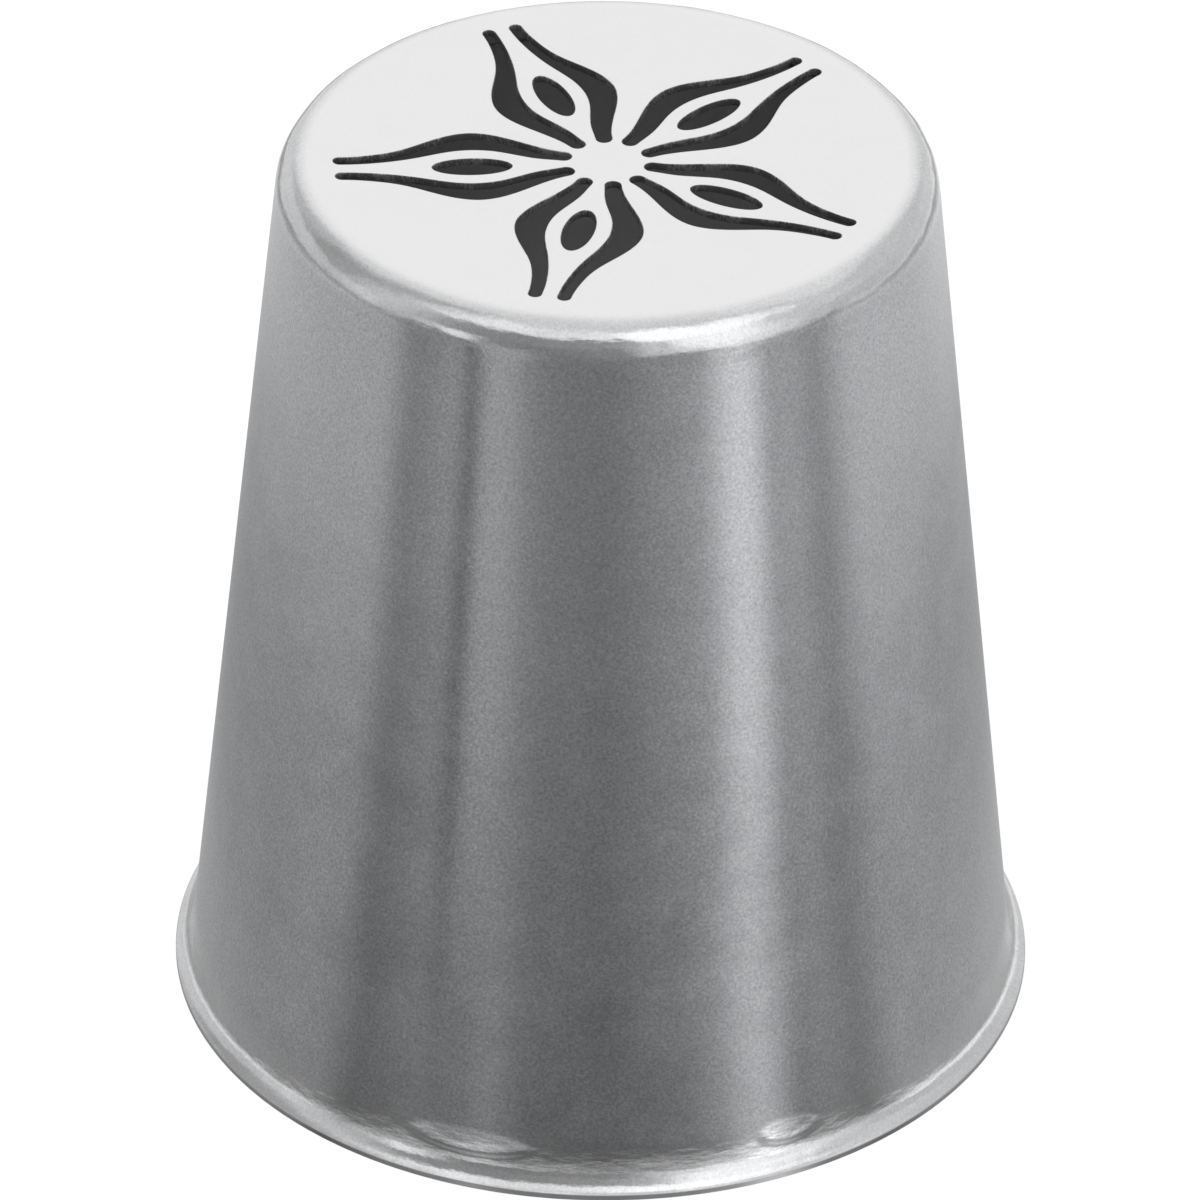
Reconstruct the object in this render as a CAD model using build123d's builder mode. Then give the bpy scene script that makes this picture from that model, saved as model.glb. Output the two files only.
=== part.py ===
from build123d import *

import os
from math import acos, degrees

# A large flower piping nozzle in thin stainless sheet, standing on its wide rim.
# Millimetres, +Z up along the nozzle's axis, origin at the centre of the rim.
# It is pressed, spun and welded from one gauge of sheet: a cap with the flower
# cut through its face, a tapered shell with a flared rim, and the weld between.

# Driving dimensions of the whole nozzle
overall_height = 37.9
base_diameter = 35.0
mouth_diameter = 25.7
sheet = 0.3

# Face and shoulder of the cap
shoulder_radius = 1.5
dish_depth = 0.3
cap_skirt = 0.5

# Weld groove between the cap and the shell
weld_face_width = 0.5
weld_root_width = 0.2
weld_root_crown = 0.1

# Flare at the wide rim: a gentle bend first, then a tight lip, then a ground edge
flare_radius = 6.0
flare_angle = 20
lip_radius = 1.0
lip_angle = 49
ground_band = 0.08

# Flower cut through the face: petals round a small uncut centre
petal_count = 5
petal_direction = 114
centre_land_radius = 1.37
tip_margin = 0.79
petal_half_width = 2.48
slot_root_width = 0.62
slot_tip_width = 0.50
slot_root_tilt = 15
oval_length = 3.12
oval_width = 1.20
cut_overrun = 1.0

# Edges of one slot: share of the slot's length, share of the petal's half width
crest_share = 0.423
slot_end_share = 0.23
outer_edge_shares = (
    (crest_share, 1.000),
    (0.536, 0.885),
    (0.725, 0.508),
    (0.860, 0.372),
)
inner_edge_shares = (
    (0.643, 0.317),
    (0.489, 0.487),
    (0.320, 0.458),
    (0.147, 0.203),
)


def toward(angle):
    """Unit vector at an angle from the radius, in the nozzle's half section."""
    return Vector(1, 0).rotate(Axis.Z, angle)


# The half section is drawn as radius and height. The wall is described by its
# outer face, and every arc's radius then changes with the depth under that face.
base_radius = base_diameter / 2
mouth_corner = Vector(mouth_diameter / 2, overall_height)

rim_height = ground_band + sheet * toward(lip_angle).Y
lip_centre = Vector(base_radius, rim_height) + toward(lip_angle) * lip_radius
flare_centre = lip_centre + toward(flare_angle) * (flare_radius - lip_radius)

# The tapered wall runs from the mouth corner to where it touches the flare's arc
corner_to_flare = flare_centre - mouth_corner
fall_angle = corner_to_flare.get_signed_angle(Vector(1, 0))
taper = degrees(acos(flare_radius / corner_to_flare.length)) - abs(fall_angle)

wall_out = toward(taper)
wall_down = toward(taper - 90)
shoulder_setback = shoulder_radius * (1 - wall_out.Y) / wall_out.X
shoulder_centre = mouth_corner - Vector(shoulder_setback, shoulder_radius)

# The dish is a bowl that touches the shoulder's arc and sinks by the dish depth
dish_radius = (shoulder_centre.X**2 + dish_depth**2) / (2 * dish_depth) - shoulder_radius
dish_centre = Vector(0, overall_height - dish_depth + dish_radius)
dish_to_shoulder = shoulder_centre - dish_centre
dish_sweep = dish_to_shoulder.get_angle(Vector(0, -1))


def on_wall(along, depth):
    """Point on the tapered wall, measured down from the end of the shoulder."""
    return shoulder_centre + wall_out * (shoulder_radius - depth) + wall_down * along


def on_flare(depth):
    """Point where the tapered wall meets the flare, at a depth in the sheet."""
    return flare_centre - wall_out * (flare_radius + depth)


def on_lip(depth):
    """Point where the lip's arc ends at the rim, at a depth in the sheet."""
    return lip_centre - toward(lip_angle) * (lip_radius + depth)


def cap_arcs(depth):
    """Arcs of the dished face and the shoulder, at a depth in the sheet."""
    CenterArc(dish_centre, dish_radius + depth, -90, dish_sweep)
    CenterArc(shoulder_centre, shoulder_radius - depth, taper, 90 + dish_sweep - taper)


def flare_arcs(depth):
    """Arcs of the gentle bend and the tight lip, at a depth in the sheet."""
    CenterArc(flare_centre, flare_radius + depth, 180 + taper, flare_angle - taper)
    CenterArc(lip_centre, lip_radius + depth, 180 + flare_angle, lip_angle - flare_angle)


# A petal is drawn on the +X axis: each slot has a round end at its root and its tip
slot_length = shoulder_centre.X - tip_margin - centre_land_radius
slot_end_offset = slot_end_share * petal_half_width
root_radius = slot_root_width / 2
tip_radius = slot_tip_width / 2
root_centre = Vector(centre_land_radius + root_radius, slot_end_offset)
tip_centre = Vector(centre_land_radius + slot_length - tip_radius, slot_end_offset)


def petal_points(shares):
    """Points of a slot's edge, from its shares of the length and the half width."""
    return [
        (centre_land_radius + slot_length * run, petal_half_width * rise)
        for run, rise in shares
    ]


# The groove is wider at the outer face than at the root
groove_slant = (weld_face_width - weld_root_width) / 2
cap_edge = on_wall(cap_skirt, 0)
cap_root = on_wall(cap_skirt + groove_slant, sheet)
shell_edge = on_wall(cap_skirt + weld_face_width, 0)
shell_root = on_wall(cap_skirt + weld_face_width - groove_slant, sheet)
root_ridge = on_wall(cap_skirt + weld_face_width / 2, sheet + weld_root_crown)

# Face cap: dished face, rounded shoulder and short skirt
with BuildPart() as face_cap:
    with BuildSketch(Plane.XZ):
        with BuildLine():
            cap_arcs(0)
            Line(on_wall(0, 0), cap_edge)
            Line(cap_edge, cap_root)
            Line(cap_root, on_wall(0, sheet))
            cap_arcs(sheet)
            Line(dish_centre - Vector(0, dish_radius + sheet), dish_centre - Vector(0, dish_radius))
        make_face()
    revolve(axis=Axis.Z)

    # One slot lies beside the petal's middle line, and its mirror on the other side
    with BuildSketch(Plane.XY.offset(overall_height - dish_depth - sheet - cut_overrun)):
        with BuildSketch(mode=Mode.PRIVATE) as petal:
            with BuildLine():
                root = CenterArc(root_centre, root_radius, 90 + slot_root_tilt, 180)
                tip = CenterArc(tip_centre, tip_radius, -90, 180)
                Spline(
                    root @ 0,
                    *petal_points(outer_edge_shares),
                    tip @ 1,
                    tangents=[toward(slot_root_tilt), toward(0)],
                )
                Spline(
                    tip @ 0,
                    *petal_points(inner_edge_shares),
                    root @ 1,
                    tangents=[toward(180), toward(180 + slot_root_tilt)],
                )
            make_face()
            mirror(about=Plane.XZ)
            with Locations((centre_land_radius + slot_length * crest_share, 0)):
                Ellipse(oval_length / 2, oval_width / 2)
        with PolarLocations(0, petal_count, start_angle=petal_direction):
            add(petal.sketch)
    extrude(amount=dish_depth + sheet + 2 * cut_overrun, mode=Mode.SUBTRACT)
face_cap.part.label = "face_cap"

# Cone shell: tapered skirt, flared rim, edge ground flat where it stands
with BuildPart() as cone_shell:
    with BuildSketch(Plane.XZ):
        with BuildLine():
            Line(shell_edge, on_flare(0))
            flare_arcs(0)
            Line(on_lip(0), (base_radius, 0))
            Line((base_radius, 0), (on_lip(sheet).X, 0))
            Line((on_lip(sheet).X, 0), on_lip(sheet))
            flare_arcs(sheet)
            Line(on_flare(sheet), shell_root)
            Line(shell_root, shell_edge)
        make_face()
    revolve(axis=Axis.Z)
cone_shell.part.label = "cone_shell"

# Weld bead: fills the groove, flush outside and a little proud inside
with BuildPart() as weld_bead:
    with BuildSketch(Plane.XZ):
        with BuildLine():
            Line(cap_edge, shell_edge)
            Line(shell_edge, shell_root)
            Line(shell_root, root_ridge)
            Line(root_ridge, cap_root)
            Line(cap_root, cap_edge)
        make_face()
    revolve(axis=Axis.Z)
weld_bead.part.label = "weld_bead"

os.makedirs("parts", exist_ok=True)
export_step(face_cap.part, "parts/face_cap.step")
export_step(cone_shell.part, "parts/cone_shell.step")
export_step(weld_bead.part, "parts/weld_bead.step")
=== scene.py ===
# %% [markdown]
# # A flower piping nozzle in thin steel
#
# This nozzle presses a whole flower of cream at once. On the bench it is three
# pieces of one thin sheet: a pressed cap with the flower cut through its face, a
# tapered skirt with a flared rim, and the ring of weld that joins them. The packed
# CAD model gives the frame. Here each piece gets a smoother skin in the same place,
# because steel shows every facet and every scratch in what it mirrors.

# %% Load the frame
import math

import bpy
import numpy as np
from mathutils import Matrix, Vector
from mathutils.geometry import delaunay_2d_cdt


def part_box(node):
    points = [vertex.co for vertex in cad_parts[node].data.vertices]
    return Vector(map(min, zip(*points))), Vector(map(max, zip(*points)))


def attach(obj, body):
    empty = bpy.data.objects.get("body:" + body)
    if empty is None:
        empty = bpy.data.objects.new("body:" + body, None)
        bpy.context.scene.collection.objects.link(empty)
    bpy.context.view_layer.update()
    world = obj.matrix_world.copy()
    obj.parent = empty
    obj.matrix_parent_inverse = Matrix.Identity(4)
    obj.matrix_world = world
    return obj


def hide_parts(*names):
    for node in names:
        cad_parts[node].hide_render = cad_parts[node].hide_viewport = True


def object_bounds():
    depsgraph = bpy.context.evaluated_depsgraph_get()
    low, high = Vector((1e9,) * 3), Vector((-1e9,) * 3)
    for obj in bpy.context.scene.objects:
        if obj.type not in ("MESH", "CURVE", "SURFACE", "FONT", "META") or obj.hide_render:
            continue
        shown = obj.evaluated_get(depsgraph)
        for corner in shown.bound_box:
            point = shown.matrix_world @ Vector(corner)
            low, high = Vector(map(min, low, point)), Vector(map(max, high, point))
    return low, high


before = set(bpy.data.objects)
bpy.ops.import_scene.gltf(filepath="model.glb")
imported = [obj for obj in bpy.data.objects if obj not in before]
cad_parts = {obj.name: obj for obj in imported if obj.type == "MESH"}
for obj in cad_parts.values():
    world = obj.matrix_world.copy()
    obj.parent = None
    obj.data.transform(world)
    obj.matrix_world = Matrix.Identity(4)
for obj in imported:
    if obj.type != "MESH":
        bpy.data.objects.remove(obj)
cad_low, cad_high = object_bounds()
cad_size = [round(side * 1000, 2) for side in cad_high - cad_low]
print("frame:", sorted(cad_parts), "box in mm:", cad_size)

# %% [markdown]
# ## Sizes
#
# Everything is in metres, and `MM` keeps the numbers readable. The overall height
# and the rim's radius come from the frame. The rest are the press's and the
# spinning lathe's own sizes: the gauge of the sheet, its bends, and the flower.

# %% Sizes of the sheet and its bends
MM = 0.001
SHEET = 0.3 * MM
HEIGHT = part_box("face_cap")[1].z
BASE_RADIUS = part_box("cone_shell")[1].x
MOUTH_RADIUS = 12.85 * MM
SHOULDER_RADIUS = 1.5 * MM
DISH_DEPTH = 0.3 * MM
CAP_SKIRT = 0.5 * MM

FLARE_RADIUS = 7.0 * MM
FLARE_ANGLE = 16
LIP_RADIUS = 1.2 * MM
LIP_ANGLE = 62
RIM_EDGE = 0.24 * MM
EDGE_ROUND = 0.03 * MM

WELD_FACE_WIDTH = 0.5 * MM
WELD_ROOT_WIDTH = 0.2 * MM
WELD_ROOT_CROWN = 0.1 * MM

PETALS = 5
PETAL_DIRECTION = 114
FIFTH = 360 / PETALS

# %% [markdown]
# ## The half section
#
# A turned part is fully described by half of its section: a line of points, each
# with a radius and a height. The taper isn't a free choice. The wall has to touch
# the shoulder's arc above and the flare's arc below, and that fixes its angle.


# %% Draw the half section
def toward(angle):
    """Unit vector at an angle in degrees from the radius, in the half section."""
    return Vector((math.cos(math.radians(angle)), math.sin(math.radians(angle))))


def arc(centre, radius, start, sweep, steps):
    """Points along an arc of the half section, both ends included."""
    return [centre + toward(start + sweep * i / steps) * radius for i in range(steps + 1)]


mouth_corner = Vector((MOUTH_RADIUS, HEIGHT))
lip_centre = Vector((BASE_RADIUS, RIM_EDGE)) + toward(LIP_ANGLE) * LIP_RADIUS
flare_centre = lip_centre + toward(FLARE_ANGLE) * (FLARE_RADIUS - LIP_RADIUS)

corner_to_flare = flare_centre - mouth_corner
fall = math.degrees(math.atan2(-corner_to_flare.y, corner_to_flare.x))
TAPER = math.degrees(math.acos(FLARE_RADIUS / corner_to_flare.length)) - fall
wall_out = toward(TAPER)
wall_down = toward(TAPER - 90)
shoulder_setback = SHOULDER_RADIUS * (1 - wall_out.y) / wall_out.x
shoulder_centre = mouth_corner - Vector((shoulder_setback, SHOULDER_RADIUS))

dish_radius = (shoulder_centre.x**2 + DISH_DEPTH**2) / (2 * DISH_DEPTH) - SHOULDER_RADIUS
dish_centre = Vector((0, HEIGHT - DISH_DEPTH + dish_radius))
dish_sweep = math.degrees(math.atan2(shoulder_centre.x, dish_centre.y - shoulder_centre.y))
FACE_RADIUS = dish_radius * math.sin(math.radians(dish_sweep))
print(f"taper {TAPER:.2f} degrees, face radius {FACE_RADIUS / MM:.2f} mm")


# %% Name the points that the pieces share
def on_wall(along, depth):
    """Point on the tapered wall, measured down from the end of the shoulder."""
    return shoulder_centre + wall_out * (SHOULDER_RADIUS - depth) + wall_down * along


def on_flare(depth):
    """Point where the tapered wall meets the flare, at a depth in the sheet."""
    return flare_centre - wall_out * (FLARE_RADIUS + depth)


groove_slant = (WELD_FACE_WIDTH - WELD_ROOT_WIDTH) / 2
cap_edge = on_wall(CAP_SKIRT, 0)
cap_root = on_wall(CAP_SKIRT + groove_slant, SHEET)
shell_edge = on_wall(CAP_SKIRT + WELD_FACE_WIDTH, 0)
shell_root = on_wall(CAP_SKIRT + WELD_FACE_WIDTH - groove_slant, SHEET)

# %% [markdown]
# ## Small helpers for node trees
#
# Geometry trees and shader trees are built from the same few moves: add a node,
# set its values, link its inputs. One helper does all three, so that each tree
# below reads as a list of what happens. The other helpers are the moves that come
# back in several trees.

# %% Helpers for node trees
SOCKET_TYPES = {float: "NodeSocketFloat", int: "NodeSocketInt"}


def add(tree, kind, inputs=None, **settings):
    """Adds a node. An input is given a value, or a socket to be linked from."""
    node = tree.nodes.new(kind)
    for name, value in settings.items():
        setattr(node, name, value)
    for socket, value in (inputs or {}).items():
        if isinstance(value, bpy.types.NodeSocket):
            tree.links.new(value, node.inputs[socket])
        else:
            node.inputs[socket].default_value = value
    return node


def new_group(name, kind, takes, gives, gives_type="NodeSocketFloat"):
    """A node group. takes names each input and its default value, or else its socket type."""
    tree = bpy.data.node_groups.new(name, kind)
    for title, default in takes.items():
        socket_type = SOCKET_TYPES.get(type(default), default)
        socket = tree.interface.new_socket(name=title, in_out="INPUT", socket_type=socket_type)
        if socket_type != default:
            socket.default_value = default
    for title in gives:
        tree.interface.new_socket(name=title, in_out="OUTPUT", socket_type=gives_type)
    return tree, tree.nodes.new("NodeGroupInput").outputs, tree.nodes.new("NodeGroupOutput").inputs


def math_node(tree, operation, *values):
    """A Math node's result."""
    return add(tree, "ShaderNodeMath", dict(enumerate(values)), operation=operation).outputs[0]


def vector_node(tree, operation, *values, result="Vector"):
    """A Vector Math node's result."""
    node = add(tree, "ShaderNodeVectorMath", dict(enumerate(values)), operation=operation)
    return node.outputs[result]


def scaled(tree, vector, factor):
    """A vector, or a colour, times a value."""
    inputs = {0: vector, "Scale": factor}
    return add(tree, "ShaderNodeVectorMath", inputs, operation="SCALE").outputs["Vector"]


def axes_of(tree, place):
    """A place's X, Y and Z."""
    return add(tree, "ShaderNodeSeparateXYZ", {0: place}).outputs


def level(tree, x, y):
    """A level vector."""
    return add(tree, "ShaderNodeCombineXYZ", {"X": x, "Y": y}).outputs[0]


def length(tree, vector):
    """A vector's length."""
    return vector_node(tree, "LENGTH", vector, result="Value")


def between(tree, value, start, end):
    """0 at the start, 1 at the end, with a smooth climb."""
    inputs = {"Value": value, "From Min": start, "From Max": end}
    return add(tree, "ShaderNodeMapRange", inputs, interpolation_type="SMOOTHSTEP").outputs[0]


# %% Helpers for objects and their trees
CREASE = math.radians(35)


def new_object(name, points, edges, faces):
    """A mesh object at the origin, in the scene."""
    mesh = bpy.data.meshes.new(name)
    mesh.from_pydata(points, edges, faces)
    obj = bpy.data.objects.new(name, mesh)
    bpy.context.scene.collection.objects.link(obj)
    return obj


def give_tree(obj, tree, values):
    """Puts a geometry tree on an object, with its inputs set by their identifiers."""
    modifier = obj.modifiers.new(tree.name, "NODES")
    modifier.node_group = tree
    for item in tree.interface.items_tree:
        if item.item_type == "SOCKET" and item.in_out == "INPUT" and item.name in values:
            modifier[item.identifier] = values[item.name]


def settle(obj):
    """Turns the modifiers' result into a plain mesh, smooth but for the true edges."""
    depsgraph = bpy.context.evaluated_depsgraph_get()
    mesh = bpy.data.meshes.new_from_object(obj.evaluated_get(depsgraph))
    obj.modifiers.clear()
    obj.data = mesh
    mesh.name = obj.name
    mesh.polygons.foreach_set("use_smooth", np.ones(len(mesh.polygons), bool))
    mesh.set_sharp_from_angle(angle=CREASE)
    triangles = sum(len(p.vertices) - 2 for p in mesh.polygons)
    print(f"{obj.name}: {len(mesh.polygons)} faces, {triangles} triangles")


# %% [markdown]
# ## Finishes
#
# One steel, several finishes. The skirt is satin, with a fine, even grain from the
# tumbling drum. The face is sanded flatter, and its colour is also painted near white,
# a painted sheen of the bright room that the top mirrors. The shoulder and the
# rim are polished by hand after the welding, so they are smoother and brighter.
# The cut edges are rough from the laser, and the inside is left as rolled.
#
# Three effects are shared or worth a name, so each is a shader group: the grain,
# the bands where the hand polish lies, and the small facets that polishing leaves.
# The polish could have been painted as a mask, but a band that follows the height
# and wanders a little is what a wheel leaves on a part that turns against it.


# %% Grain: a shader group for the fine tumbled texture
def noise(tree, place, size, detail=2.0, rough=0.55):
    """A noise with lumps of a size in metres, or a size from a socket."""
    per_metre = math_node(tree, "DIVIDE", 1.0, size)
    inputs = {"Vector": place, "Scale": per_metre, "Detail": detail, "Roughness": rough}
    return add(tree, "ShaderNodeTexNoise", inputs).outputs["Fac"]


def object_place(tree):
    """The place on the piece, in metres."""
    return add(tree, "ShaderNodeTexCoord").outputs["Object"]


def swing(tree, value):
    """A noise's value, made to swing about 0."""
    return math_node(tree, "SUBTRACT", value, 0.5)


def grain_group():
    takes = {"Grain Size": 0.1 * MM, "Cloud Size": 2 * MM, "Contrast": 0.3}
    gives_out = ["Height", "Cloud", "Speckle"]
    tree, takes, gives = new_group("Tumbled grain", "ShaderNodeTree", takes, gives_out)
    place = object_place(tree)
    grain = noise(tree, place, takes["Grain Size"], 4.0, 0.7)
    tree.links.new(grain, gives["Height"])
    tree.links.new(noise(tree, place, takes["Cloud Size"], 5.0, 0.7), gives["Cloud"])
    speckle = math_node(tree, "MULTIPLY_ADD", swing(tree, grain), takes["Contrast"], 1.0)
    tree.links.new(speckle, gives["Speckle"])
    return tree


GRAIN = grain_group()


# %% Polish marks: a shader group for the small facets that hand polishing leaves
def polish_marks_group():
    takes = {"Mark Length": 0.8 * MM, "Flatness": 3.0}
    tree, takes, gives = new_group("Polish marks", "ShaderNodeTree", takes, ["Height"])
    axes = axes_of(tree, object_place(tree))
    tall = math_node(tree, "MULTIPLY", axes["Z"], takes["Flatness"])
    stretched = add(tree, "ShaderNodeCombineXYZ", {"X": axes["X"], "Y": axes["Y"], "Z": tall}).outputs[0]
    tree.links.new(noise(tree, stretched, takes["Mark Length"], 2.5, 0.5), gives["Height"])
    return tree


POLISH_MARKS = polish_marks_group()

# %% Bands: a shader group for where the face and the hand polish lie
FACE_FINISH_RADIUS = 11.95 * MM
FACE_FINISH_HEIGHT = 37.2 * MM
FACE_FINISH_FADE = 0.32 * MM
FACE_FINISH_WANDER = 0.15 * MM
SHOULDER_POLISH_FOOT = 36.9 * MM
RIM_POLISH_TOP = 2.2 * MM
POLISH_FADE = 0.7 * MM
POLISH_WANDER = 0.5 * MM


def bands_group():
    takes, gives_out = {"Wander": POLISH_WANDER}, ["Face", "Polish"]
    tree, takes, gives = new_group("Hand polish", "ShaderNodeTree", takes, gives_out)
    place = object_place(tree)
    axes = axes_of(tree, place)
    radius = length(tree, level(tree, axes["X"], axes["Y"]))
    fine = swing(tree, noise(tree, place, 0.5 * MM))
    radius = math_node(tree, "MULTIPLY_ADD", fine, FACE_FINISH_WANDER, radius)
    slow = swing(tree, noise(tree, place, 3.0 * MM))
    height = math_node(tree, "MULTIPLY_ADD", slow, takes["Wander"], axes["Z"])
    outer_end, inner_end = FACE_FINISH_RADIUS + FACE_FINISH_FADE, FACE_FINISH_RADIUS - FACE_FINISH_FADE
    inner = between(tree, radius, outer_end, inner_end)
    upper = math_node(tree, "GREATER_THAN", axes["Z"], FACE_FINISH_HEIGHT)
    tree.links.new(math_node(tree, "MULTIPLY", inner, upper), gives["Face"])
    foot, full = SHOULDER_POLISH_FOOT - POLISH_FADE, SHOULDER_POLISH_FOOT + POLISH_FADE / 2
    shoulder = between(tree, height, foot, full)
    rim = between(tree, height, RIM_POLISH_TOP + POLISH_FADE, RIM_POLISH_TOP - POLISH_FADE)
    tree.links.new(math_node(tree, "MAXIMUM", shoulder, rim), gives["Polish"])
    return tree


HAND_POLISH = bands_group()

# %% Outer steel: satin, hand polish and face in one material
SATIN_COLOUR = (0.60, 0.61, 0.63)
POLISHED_COLOUR = (0.70, 0.705, 0.715)
# The face colour is partly painted light: besides the sanded finish, it is painted near white as a
# painted sheen of the bright room the top mirrors.
FACE_SANDED_AND_LIT_COLOUR = (0.86, 0.86, 0.86)
SATIN_ROUGHNESS = 0.21
UNTURNED_ROUGHNESS = 0.30
POLISHED_ROUGHNESS = 0.11
FACE_ROUGHNESS = 0.40
FACE_METAL = 0.55
TURNED = 0.9
GRAIN_SIZE = 0.11 * MM
GRAIN_DEPTH = 0.003 * MM
GRAIN_CONTRAST = 1.3
CLOUD_SIZE = 2.5 * MM
CLOUD_ROUGHNESS = 0.12
CLOUD_SHADE = 0.25
FACE_CALM = 0.15
MARK_DEPTH = 0.016 * MM


def colour_between(tree, factor, first, second):
    """A colour between two, each written or from a socket."""
    first, second = (c if isinstance(c, bpy.types.NodeSocket) else (*c, 1) for c in (first, second))
    return add(tree, "ShaderNodeMix", {0: factor, 6: first, 7: second}, data_type="RGBA").outputs[2]


def value_between(tree, factor, first, second):
    """A value between two, each written or from a socket."""
    return add(tree, "ShaderNodeMix", {0: factor, 2: first, 3: second}).outputs[0]


def calmed(tree, speckle, share):
    """The speckle with only a share of its contrast."""
    return math_node(tree, "MULTIPLY_ADD", speckle, share, 1 - share)


def new_steel(name):
    """A metal material, its node tree and its shader."""
    material = bpy.data.materials.new(name)
    material.use_nodes = True
    tree = material.node_tree
    shader = tree.nodes["Principled BSDF"]
    shader.inputs["Metallic"].default_value = 1.0
    return material, tree, shader


def grain_nodes(tree, grain_size, cloud_size, contrast):
    """The grain, set for one material."""
    node = add(tree, "ShaderNodeGroup", node_tree=GRAIN)
    values = {"Grain Size": grain_size, "Cloud Size": cloud_size, "Contrast": contrast}
    for title, value in values.items():
        node.inputs[title].default_value = value
    return node.outputs


def finish_steel(tree, shader, colour, rough, height, depth):
    """Links a steel's colour and roughness, and its relief with a depth in metres."""
    bump = add(tree, "ShaderNodeBump", {"Height": height, "Distance": depth, "Strength": 1.0})
    tree.links.new(colour, shader.inputs["Base Color"])
    tree.links.new(rough, shader.inputs["Roughness"])
    tree.links.new(bump.outputs["Normal"], shader.inputs["Normal"])


def turned_round_axis(tree, shader):
    """Fine scratches run round the axis, so reflections stretch up and down."""
    shader.inputs["Anisotropic"].default_value = TURNED
    shader.inputs["Anisotropic Rotation"].default_value = 0.25
    round_axis = add(tree, "ShaderNodeTangent", direction_type="RADIAL", axis="Z")
    tree.links.new(round_axis.outputs[0], shader.inputs["Tangent"])


def outer_steel(name, with_face):
    """The outside of the nozzle. The face is sanded, so its scratches have no direction."""
    material, tree, shader = new_steel(name)
    grain = grain_nodes(tree, GRAIN_SIZE, CLOUD_SIZE, GRAIN_CONTRAST)
    masks = add(tree, "ShaderNodeGroup", node_tree=HAND_POLISH).outputs
    facets = add(tree, "ShaderNodeGroup", node_tree=POLISH_MARKS).outputs["Height"]
    polish, face = masks["Polish"], masks["Face"]
    cloud = swing(tree, grain["Cloud"])
    colour = colour_between(tree, polish, SATIN_COLOUR, POLISHED_COLOUR)
    wall_roughness = UNTURNED_ROUGHNESS if with_face else SATIN_ROUGHNESS
    rough = value_between(tree, polish, wall_roughness, POLISHED_ROUGHNESS)
    depth = value_between(tree, polish, GRAIN_DEPTH, 0.7 * GRAIN_DEPTH)
    speckle = value_between(tree, polish, grain["Speckle"], calmed(tree, grain["Speckle"], 0.5))
    mark_depth = math_node(tree, "MULTIPLY", polish, MARK_DEPTH)
    if with_face:
        # Painted sheen: the face takes a near-white colour and a non-metal share, so the top stays light
        # like the bright room it mirrors.
        colour = colour_between(tree, face, colour, FACE_SANDED_AND_LIT_COLOUR)
        rough = value_between(tree, face, rough, FACE_ROUGHNESS)
        depth = value_between(tree, face, depth, 0.25 * GRAIN_DEPTH)
        speckle = value_between(tree, face, speckle, calmed(tree, speckle, FACE_CALM))
        cloud = math_node(tree, "MULTIPLY", cloud, value_between(tree, face, 1.0, FACE_CALM))
        mark_depth = value_between(tree, face, mark_depth, 0.0)
        tree.links.new(value_between(tree, face, 1.0, FACE_METAL), shader.inputs["Metallic"])
    else:
        turned_round_axis(tree, shader)
    rough = math_node(tree, "MULTIPLY_ADD", cloud, CLOUD_ROUGHNESS, rough)
    shade = math_node(tree, "MULTIPLY_ADD", cloud, CLOUD_SHADE, 1.0)
    shade = math_node(tree, "MULTIPLY", speckle, shade)
    raised = math_node(tree, "MULTIPLY", grain["Height"], depth)
    raised = math_node(tree, "MULTIPLY_ADD", facets, mark_depth, raised)
    finish_steel(tree, shader, scaled(tree, colour, shade), rough, raised, 1.0)
    return material


SATIN = outer_steel("satin_steel", with_face=False)
POLISHED = outer_steel("polished_steel", with_face=True)


# %% Plain steel: cut edges, the inside, the ground foot and the weld
CUT_COLOUR = (0.52, 0.52, 0.52)
BURNT_COLOUR = (0.18, 0.18, 0.185)
STREAK_SIZE = 0.09 * MM
STREAK_STRETCH = 0.5
BURN_SIZE = 1.3 * MM
BURN_CONTRAST = 1.6
INSIDE_COLOUR = (0.62, 0.62, 0.63)
INSIDE_ROUGHNESS = 0.36
GROUND_AND_FOOT_SHADE_COLOURS = (0.44, 0.44, 0.45), (0.60, 0.60, 0.61)
WELD_COLOURS = (0.46, 0.43, 0.38), (0.54, 0.53, 0.52)


def cut_steel():
    """The laser leaves upright streaks, bright where the steel shows and dark where it is burnt."""
    material, tree, shader = new_steel("cut_steel")
    place = object_place(tree)
    upright = vector_node(tree, "MULTIPLY", place, (1, 1, STREAK_STRETCH))
    streaks = noise(tree, upright, STREAK_SIZE, 2.0, 0.6)
    patches = swing(tree, noise(tree, place, BURN_SIZE, 2.0, 0.6))
    bright = math_node(tree, "MULTIPLY_ADD", patches, BURN_CONTRAST, streaks)
    bright = between(tree, bright, 0.40, 0.80)
    colour = colour_between(tree, bright, BURNT_COLOUR, CUT_COLOUR)
    rough = value_between(tree, bright, 0.75, 0.5)
    finish_steel(tree, shader, colour, rough, streaks, 0.03 * MM)
    return material


def inside_steel():
    """As rolled: smooth, a little cloudy, never polished."""
    material, tree, shader = new_steel("inside_steel")
    grain = grain_nodes(tree, 0.12 * MM, CLOUD_SIZE, 0.3)
    rough = math_node(tree, "MULTIPLY_ADD", swing(tree, grain["Cloud"]), 0.2, INSIDE_ROUGHNESS)
    colour = scaled(tree, INSIDE_COLOUR, grain["Speckle"])
    finish_steel(tree, shader, colour, rough, grain["Height"], 0.006 * MM)
    return material


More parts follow.
